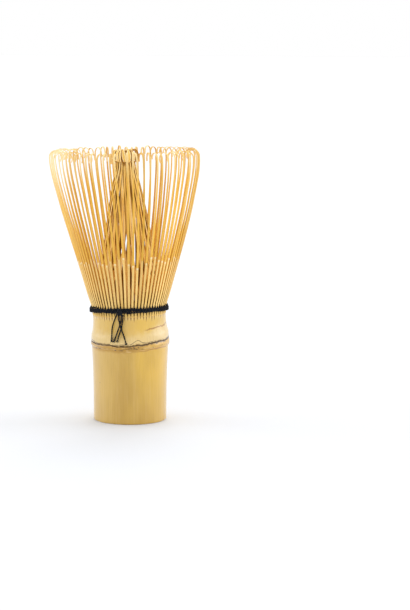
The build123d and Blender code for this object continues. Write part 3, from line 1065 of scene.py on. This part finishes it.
def add_turn(solid, turn, rise):
    """One two-ply turn of thread round the rim. It swells over each tine and wanders a little."""
    twists = 59 + turn
    azimuth = round_turn(twists * POINTS_PER_TWIST)
    lay = 0.1 * np.sin(5 * azimuth + 2 * turn) + 0.08 * np.sin(13 * azimuth + turn)
    lay = lay + 0.05 * np.sin(29 * azimuth)
    dip = 0.10 * np.cos(OUTER_COUNT * azimuth)
    for ply in range(2):
        angle = twists * azimuth + ply * math.pi + turn * 1.1
        radius = BAND_RADIUS + dip + 0.17 * np.cos(angle)
        height = rise * (1 - 0.3 * np.cos(azimuth) ** 2) + lay + 0.24 * np.sin(angle)
        thickness = 0.2 * (1 + 0.1 * np.sin(31 * azimuth + turn + ply))
        add_tube(solid, band_points(radius, azimuth, height), thickness, 0.3 * turn + 0.2 * ply, closed=True)


def make_outer_band():
    """The turns round the outside, and the thread that climbs into every slit above them."""
    solid = Solid()
    for turn, rise in enumerate((-0.62, 0.0, 0.6)):
        add_turn(solid, turn, rise)
    for slit in range(OUTER_COUNT):
        azimuth = (slit + 0.5) * PITCH
        lift = rng.uniform(-0.4, 0.4)
        route = [(15.7, -0.35, 0.3), (15.72, -0.1, 0.9 + lift)]
        route += [(15.4, 0.1, 1.5 + lift), (14.9, 0.0, 1.4 + lift)]
        points = [band_points(r, azimuth + across / r, rise) for r, across, rise in route]
        add_tube(solid, curve_through(points, 9), 0.21, rng.random(), segments=7)
    on_handle(solid.piece("outer_turns", black_thread), "thread_outer_band")


def make_inner_ring():
    """The turn inside the outer tines, drawn out towards every slit, and the lengths through them."""
    solid = Solid()
    azimuth = round_turn(OUTER_COUNT * POINTS_PER_SCALLOP)
    scallop = np.cos(OUTER_COUNT * (azimuth - PITCH / 2))
    for ply in range(2):
        angle = OUTER_COUNT * azimuth + ply * math.pi
        radius = INNER_RING_RADIUS + 0.22 * scallop + 0.15 * np.cos(angle)
        rise = 0.5 + 0.3 * scallop + 0.17 * np.sin(angle)
        add_tube(solid, band_points(radius, azimuth, rise), 0.17, ply * 0.4, segments=7, closed=True)
    on_handle(solid.piece("inner_turn", black_thread), "thread_inner_ring")
    solid = Solid()
    for slit in range(OUTER_COUNT):
        azimuth = (slit + 0.5) * PITCH
        points = [band_points(r, azimuth, rise) for r, rise in ((14.0, 0.75), (14.6, 0.95), (15.3, 0.9))]
        add_tube(solid, curve_through(points, 6), 0.19, rng.random(), segments=7)
    on_handle(solid.piece("slit_threads", black_thread), "thread_crossings")


def on_front(across, height, out):
    """A point in front of the culm, given across it, up it, and out from the leaning axis."""
    azimuth = math.atan2(-math.sqrt(out**2 - across**2), across)
    return head_points(out, azimuth, height)


# points of the loose ends, each across, up and out from the axis, from the knot down
TAIL_ROUTES = [
    [(-4.95, 45.0, 16.5), (-6.1, 42.3, 15.8), (-6.95, 39.4, 15.5), (-7.2, 36.4, 15.95), (-7.35, 33.9, 16.5)],
    [(-3.1, 45.0, 16.7), (-3.45, 42.2, 16.2), (-4.35, 39.4, 16.15), (-5.5, 36.5, 16.1), (-6.5, 33.9, 16.5)],
    [(-4.05, 45.0, 16.5), (-4.1, 42.5, 15.6), (-3.5, 39.6, 15.5), (-2.4, 36.4, 15.9), (-1.45, 32.8, 16.5)],
    [(-2.45, 45.0, 16.6), (-2.75, 42.2, 16.0), (-3.4, 39.2, 16.2), (-4.4, 36.4, 16.2), (-5.15, 33.9, 16.5)],
]


def make_knot():
    """The knot on the outer turns: loops of thread drawn tight over each other."""
    solid = Solid()
    loops = [
        [(-4.6, 46.9, 16.6), (-3.9, 47.3, 16.9), (-3.2, 46.7, 16.8), (-3.4, 45.6, 16.7), (-4.3, 45.5, 16.9)],
        [(-4.9, 46.0, 16.4), (-4.2, 46.6, 17.1), (-3.4, 46.2, 17.1), (-2.9, 45.5, 16.6)],
        [(-4.4, 45.0, 16.6), (-3.9, 46.0, 17.2), (-3.7, 47.0, 16.8), (-3.5, 47.5, 16.3)],
        [(-3.3, 44.9, 16.7), (-3.6, 45.9, 17.15), (-4.2, 46.8, 16.8), (-4.6, 47.3, 16.3)],
        [(-5.1, 45.2, 16.4), (-4.5, 45.4, 16.9), (-3.6, 45.2, 17.0), (-2.8, 45.0, 16.6)],
    ]
    for loop in loops:
        points = [on_front(*point) for point in loop]
        add_tube(solid, curve_through(points, 22), 0.29, rng.random())
    on_handle(solid.piece("knot", black_thread), "thread_knot")


TAIL_POINTS = 60
TAIL_TWISTS = 7


def make_tail(number, route):
    """One loose end: two plies twisted together, which part at the cut end."""
    solid = Solid()
    line = curve_through([on_front(*point) for point in route], TAIL_POINTS)
    forward = directions(line)
    outwards = normalized(line - np.array([0, 0, 1]) * line[:, 2:3])
    sideways = np.cross(forward, outwards)
    share = np.linspace(0, 1, len(line))
    open_end = smoothstep(0.72, 1.0, share)
    for ply in range(2):
        angle = 2 * math.pi * TAIL_TWISTS * share + ply * math.pi + number
        reach = 0.11 + 0.4 * open_end
        angle = angle * (1 - open_end) + (ply * math.pi + number * 0.5) * open_end
        path = line + sideways * (reach * np.cos(angle))[:, None] + outwards * (0.12 * np.sin(angle))[:, None]
        add_tube(solid, path, 0.2 - 0.03 * open_end, rng.random())
    on_handle(solid.piece(f"loose_end_{number}", black_thread), f"thread_tail_{number}")


# ---- the room ----

# the floor is a disc, and its radius is in metres
FLOOR_RADIUS = 60.0
FLOOR_CORNERS = 96


def make_floor():
    """A plain pale floor, wide enough to fill the view from every side."""
    mesh = bpy.data.meshes.new("floor")
    turns = round_turn(FLOOR_CORNERS)
    rim = [(FLOOR_RADIUS * math.cos(a), FLOOR_RADIUS * math.sin(a), 0.0) for a in turns]
    mesh.from_pydata(rim, [], [tuple(range(FLOOR_CORNERS))])
    s = Shader("floor_paint")
    tone = s.noise((0.002, 0.002, 0.002), 1.0, 0.5)
    color = s.mix(tone, rgb(0.735, 0.757, 0.797), rgb(0.745, 0.767, 0.807))
    mesh.materials.append(s.finish(color, 0.75, Specular_IOR_Level=0.2))
    add_object("floor", mesh)


def make_soft_sun(name, azimuth, elevation, strength, spread):
    """A very soft distant light, given the side and the height that it comes from, in degrees."""
    data = bpy.data.lights.new(name, "SUN")
    data.energy = strength
    data.angle = math.radians(spread)
    light = add_object(name, data)
    light.rotation_euler = (math.radians(90 - elevation), 0, math.radians(azimuth + 90))


def make_lights():
    world = bpy.data.worlds.new("white_room")
    world.use_nodes = True
    backdrop = world.node_tree.nodes["Background"]
    backdrop.inputs["Color"].default_value = (1.0, 1.0, 1.0, 1.0)
    bpy.context.scene.world = world
    make_soft_sun("right_light", 12.0, 22.0, 1.05, 50.0)
    make_soft_sun("left_light", 165.0, 22.0, 0.65, 50.0)
    make_soft_sun("back_light", 80.0, 50.0, 0.7, 40.0)


# the camera's place is in metres, and its sensor and lens are in millimetres
CAMERA_DISTANCE = 0.789
CAMERA_HEIGHT = 0.1488
CAMERA_PITCH = math.radians(7.36)
CAMERA_YAW = math.radians(2.217)
CAMERA_ROLL = math.radians(0.28)
SENSOR = 36.0
LENS = 115.3


def make_camera():
    data = bpy.data.cameras.new("camera")
    data.sensor_width = SENSOR
    data.lens = LENS
    data.clip_start, data.clip_end = 0.01, 200.0
    camera = add_object("camera", data)
    camera.location = (0, -CAMERA_DISTANCE, CAMERA_HEIGHT)
    turned = Euler((math.pi / 2 - CAMERA_PITCH, 0, -CAMERA_YAW)).to_matrix()
    camera.rotation_euler = (turned @ Matrix.Rotation(CAMERA_ROLL, 3, "Z")).to_euler()
    bpy.context.scene.camera = camera


make_camera()
make_lights()
make_floor()
make_grip()
make_ridge()
make_collar()
show_diaphragm()
make_outer_tines()
inner_plans = [inner_tine_plan(number) for number in range(INNER_COUNT)]
make_inner_tines(inner_plans)
make_rosette(inner_plans)
make_outer_band()
make_inner_ring()
make_knot()
for tail_number, tail_route in enumerate(TAIL_ROUTES, 1):
    make_tail(tail_number, tail_route)
bpy.context.scene.view_settings.view_transform = "Standard"
